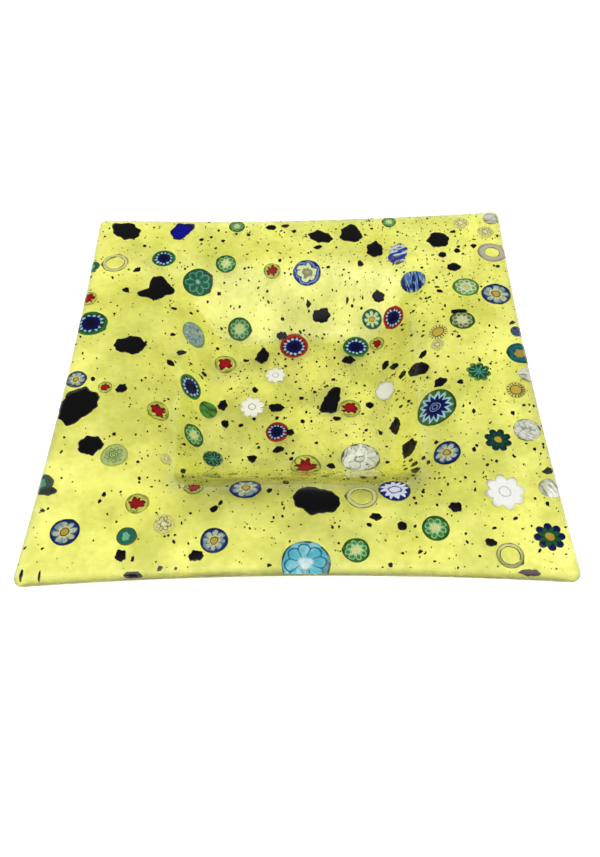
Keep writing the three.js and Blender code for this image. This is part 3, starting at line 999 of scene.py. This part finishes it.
# Name: material, slot, and each slice's x, y and diameter.
SMALL_SLICES = {
    "small_yellow_eyed_daisy": (yellow_eyed_daisy(), "green_murrina", ((35, 43, 9.5),)),
    "small_blue_daisy": (BLUE_CANE, "blue_murrina", ((-93, -6.5, 9),)),
    "small_red_stars": (STAR_CANE, "red_murrina", (
        (-12, 61, 8), (-96, 42, 8.5), (37, 32, 7), (-80, -11, 6), (-57, -21, 9.5), (-59, -68, 9),
        (-39, -59.5, 7.7))),
    "small_fern_flower": (fern_flower("dark", rgb(150, 172, 110), rgb(20, 72, 44), rgb(120, 172, 126)),
                          "green_murrina", ((-36, -32.5, 8.8),)),
    "small_pale_flowers": (small_pale_flower(), "cream_murrina", (
        (80, 90, 8), (91, 83, 8), (61, 12, 6), (-48, -77, 7.7), (-52, -43, 5))),
    "small_amber_eyes": (fringed_amber_eye(), "cream_murrina", ((62, 19, 8.5), (90, -16, 8))),
    "small_grey_canes": (
        striped_cane("grey_striped", rgb(206, 206, 176), rgb(250, 250, 242), rgb(150, 148, 120),
                     (3.5, 0.5, 1)),
        "grey_murrina", ((95, -63.5, 8.5), (96, -8, 7), (95, 93, 8))),
    "small_amber_teal_eye": (teal_eye("amber", rgb(20, 60, 40), rgb(20, 80, 110),
                                      rgb(176, 152, 62)), "teal_murrina", ((95, 4, 11.5),)),
    "small_teal_slices": (teal_eye("sea", rgb(84, 100, 40), rgb(26, 98, 76),
                                    rgb(112, 184, 142)), "teal_murrina", (
        (-98, 64, 7), (-97, -58.5, 8.5), (-61, -82, 7.5))),
    "small_green_slices": (GREEN_CANE, "green_murrina", ((-30, 91, 8), (45, 92, 7))),
    "small_blue_slice": (
        striped_cane("blue_edge", rgb(12, 34, 104), rgb(60, 110, 180), rgb(20, 40, 60), (1.8, 1.8, 1)),
        "blue_murrina", ((96, 17, 6),)),
}

# x, y, width, length and turn in degrees.
SMALL_SHARDS = (
    (46, -34.5, 9, 10, 0), (42, -19, 6, 9.4, 0), (11, 45, 9.5, 8, 0), (-17, 27, 7, 10.7, -20),
    (-9.6, -4.7, 7.7, 6, 0), (60, -9, 7.5, 6, 20), (-94, -62, 8, 5, 0), (73, 58.5, 7, 6, 0),
    (38, 50, 6, 6, 0), (-8, 38, 6.6, 5, 0), (23.5, 23, 7, 6, 0), (-13, 90, 6, 4, 0), (-73, -12, 5.5, 5, 0),
    (-34, -2.6, 5, 7, 0), (-3.4, -18.4, 4.5, 4, 0), (59, -71, 6.3, 5, 0), (70, -86, 4.7, 4, 0),
    (-62, -90, 4, 5.5, 15), (-35, -90, 6, 5, 0), (30, -75, 5, 4, 0), (39, -79, 4, 4, 0),
    (72, 29.5, 8, 3, 0), (-57, -97, 8.5, 3, 0), (-96.5, -97, 1.4, 6, 0), (-90, -97.5, 1, 5, 0),
)
MAROON_SHARDS = (
    (47, -45, 4, 3, 0), (43.5, -46.5, 2.2, 2, 0), (50.5, -43.5, 2.4, 2, 30), (46, -41.5, 2, 1.6, 0),
    (52, -47, 1.8, 2.4, 0), (82, -97.5, 8, 3, 0), (-6, 91, 5, 3, 0),
)


def make_small_slices():
    for name, (material, slot, slices) in SMALL_SLICES.items():
        rng = random.Random(name)
        parts = []
        for x, y, diameter in slices:
            angles, radii = round_outline(rng, diameter, tail=0.06)
            parts.append(inlay_points(Place(x, y), angles, radii, DOME, DEPTH, rng.uniform(0, math.tau),
                                      rng.uniform(0, 40)))
            TAKEN.append((x, y, diameter / 2))
        inlay_piece(name, parts, material)


def uneven_corners(rng, count, size, turn, drift, reaches):
    """Corners about an ellipse of this width and length, unevenly spaced and each at a chance reach."""
    width, length = size
    corners = []
    for k in range(count):
        way = (k + rng.uniform(-drift, drift)) / count * math.tau
        reach = rng.uniform(*reaches) / 2
        u, v = reach * width * math.cos(way), reach * length * math.sin(way)
        corners.append((u * math.cos(turn) - v * math.sin(turn), u * math.sin(turn) + v * math.cos(turn)))
    return corners


def make_small_shards(name, shards, material):
    rng = random.Random(name)
    parts = []
    for x, y, width, length, turn in shards:
        corners = uneven_corners(rng, rng.randint(6, 8), (width, length), math.radians(turn), 0.3,
                                 (0.8, 1.12))
        angles, radii = shard_outline(rng, corners)
        parts.append(inlay_points(Place(x, y), angles, radii, DOME, DEPTH / 2, 0, rng.uniform(0, 40)))
        TAKEN.append((x, y, (width + length) / 4))
    inlay_piece(name, parts, material)


make_small_slices()
make_small_shards("small_black_shards", SMALL_SHARDS, BLACK)
make_small_shards("maroon_shards", MAROON_SHARDS, MAROON)

# ---------------------------------------------------------------- frit


def frit_share(x, y):
    """How thickly the frit was strewn at a point, 0 to 1: more to the right, in the well and behind."""
    rightward = min(max((x + 75) / 90, 0), 1)
    well = min(max((72 - max(abs(x), abs(y))) / 20, 0), 1)
    back = min(max((y - 20) / 60, 0), 1)
    return 0.16 + 0.34 * rightward + 0.34 * well + 0.16 * back


CLEAR_OF_PIECES = 0.2
CLEAR_OF_EDGE = 1


def strewn(rng, count, smallest, largest, keenness):
    """Frit grains between the slices: x, y, width, length and turn. Keenness over 1 favours small ones."""
    taken = np.array(TAKEN)
    grains = []
    while len(grains) < count:
        x, y = rng.uniform(-HALF, HALF), rng.uniform(-HALF, HALF)
        size = smallest * (largest / smallest) ** (rng.random() ** keenness)
        limit_x, limit_y = outline_limits(x, y)
        beyond = abs(x) > limit_x - CLEAR_OF_EDGE or abs(y) > limit_y - CLEAR_OF_EDGE
        if beyond or rng.random() > frit_share(x, y):
            continue
        gaps = np.hypot(taken[:, 0] - x, taken[:, 1] - y) - taken[:, 2]
        if gaps.min() > CLEAR_OF_PIECES + size / 2:
            grains.append((x, y, size, size * rng.uniform(0.45, 1), rng.uniform(0, math.tau)))
    return grains


CHIP_COUNT = 104
CHIP_SIZES = (1.6, 6, 1.3)  # smallest, largest and keenness
COARSE_GRAINS = (60, 1.4, 2.6, 1.5)  # count, smallest, largest and keenness
FINE_GRAINS = (2000, 0.35, 1.5, 1.5)
GRAIN_DEPTH = 0.5
GRAIN_PROUD = 0.06


def strewn_chips(rng):
    """Chips of black frit, clear of the slices and of each other."""
    chips = []
    while len(chips) < CHIP_COUNT:
        chips += strewn(rng, 1, *CHIP_SIZES)
        x, y, width, length, _ = chips[-1]
        TAKEN.append((x, y, (width + length) / 4))
    return chips


def grain_mesh(rng, grains, sides=7):
    """Flat angular grains at the face, each a cap, a skirt and a base."""
    flat, faces = [], []
    for x, y, width, length, turn in grains:
        first = 2 * len(flat)
        corners = uneven_corners(rng, sides, (width, length), turn, 0.35, (0.65, 1.15))
        flat += [(x + u, y + v) for u, v in corners]
        cap, base = range(first, first + sides), range(first + sides, first + 2 * sides)
        faces += [tuple(cap), tuple(reversed(base))]
        faces += [(cap[k - 1], base[k - 1], base[k], cap[k]) for k in range(sides)]
    flat = np.array(flat)
    keep_inside(flat)
    upper = np.column_stack([flat, face_height(flat[:, 0], flat[:, 1])])
    normals = face_normal(flat[:, 0], flat[:, 1])
    sunk = (upper - normals * GRAIN_DEPTH).reshape(-1, sides, 3)
    proud = (upper + normals * GRAIN_PROUD).reshape(-1, sides, 3)
    return np.concatenate([proud, sunk], axis=1).reshape(-1, 3), faces


def make_frit():
    rng = random.Random("frit")
    chips = strewn_chips(rng)
    grains = strewn(rng, *COARSE_GRAINS) + strewn(rng, *FINE_GRAINS)
    for name, chosen, material in (("frit_chips", chips, BLACK), ("frit_grains", grains, FRIT)):
        points, faces = grain_mesh(rng, chosen)
        new_piece(name, points, faces, material, smooth=False)


make_frit()

# ---------------------------------------------------------------- floor and light


FLOOR_HALF_WIDTH = 3.0
FLOOR_LEVEL = -0.00042  # just under the lowest ripple
FLOOR_GLOW = 0.66
# the paper glows less under the dish: painted shade of the dish on the paper
GLOW_UNDER_FOOT = 0.50
GLOW_RISES = (0.045, 0.095)  # between these distances from the middle

# Where each light starts and is full, by the way it comes from, and its strength.
CEILING_LIGHT = (0.80, 0.98, 0.6)
FRONT_LIGHT = (0.28, -0.10, 1.3)
FRONT_LIGHT_HEIGHT = (0.42, 0.62, 1.0)
HORIZON_LIGHT = (0.35, 0.10, 0.9)
LIGHT_ALL_ROUND = 0.30
WHITE = (1, 1, 1, 1)


def make_floor():
    """Pale paper lit from below as well, so that it stays white beside the glass; its glow is dimmed under
    the dish as painted shade of the dish.
    """
    mesh = bpy.data.meshes.new("floor")
    corners = ((-1, -1), (1, -1), (1, 1), (-1, 1))
    mesh.from_pydata([(x * FLOOR_HALF_WIDTH, y * FLOOR_HALF_WIDTH, 0) for x, y in corners], [],
                     [(0, 1, 2, 3)])
    graph = Graph("floor_paper", 0.6)
    away = graph.node("VectorMath")
    away.operation = "LENGTH"
    graph.feed(away.inputs[0], graph.position())
    glow = graph.ramp(away.outputs["Value"], *GLOW_RISES, FLOOR_GLOW, GLOW_UNDER_FOOT)
    paper = graph.mix_colours(graph.noise(graph.position(), 12), rgb(220, 220, 219), rgb(224, 224, 223))
    graph.fill(graph.shader, Base_Color=paper, Emission_Color=WHITE, Emission_Strength=glow)
    mesh.materials.append(graph.material)
    floor = bpy.data.objects.new("floor", mesh)
    floor.location.z = FLOOR_LEVEL
    bpy.context.scene.collection.objects.link(floor)


def make_world():
    """Soft light from the ceiling, from high in front and from the horizon, and white to the camera."""
    world = bpy.data.worlds.new("studio")
    bpy.context.scene.world = world
    world.use_nodes = True
    graph = Nodes(world.node_tree)
    _, forward, upward = graph.split(graph.node("TexCoord").outputs["Generated"])
    front = graph.maths("MULTIPLY", graph.ramp(forward, *FRONT_LIGHT),
                        graph.ramp(upward, *FRONT_LIGHT_HEIGHT))
    total = graph.maths("ADD", graph.ramp(upward, *CEILING_LIGHT), front)
    total = graph.maths("ADD", total, graph.ramp(upward, *HORIZON_LIGHT))
    total = graph.maths("ADD", total, LIGHT_ALL_ROUND)
    mix = graph.node("Mix")
    graph.feed(mix.inputs[0], graph.node("LightPath").outputs["Is Camera Ray"])
    graph.feed(mix.inputs[2], total)
    graph.feed(mix.inputs[3], 1.0)
    graph.fill(graph.nodes["Background"], Color=WHITE, Strength=mix.outputs[0])


make_floor()
make_world()
scene = bpy.context.scene
scene.view_settings.view_transform = "Standard"
scene.cycles.max_bounces = 48  # light runs along inside the glass to its edges
scene.cycles.transmission_bounces = 48
scene.cycles.glossy_bounces = 16
scene.cycles.blur_glossy = 0
scene.cycles.use_denoising = True
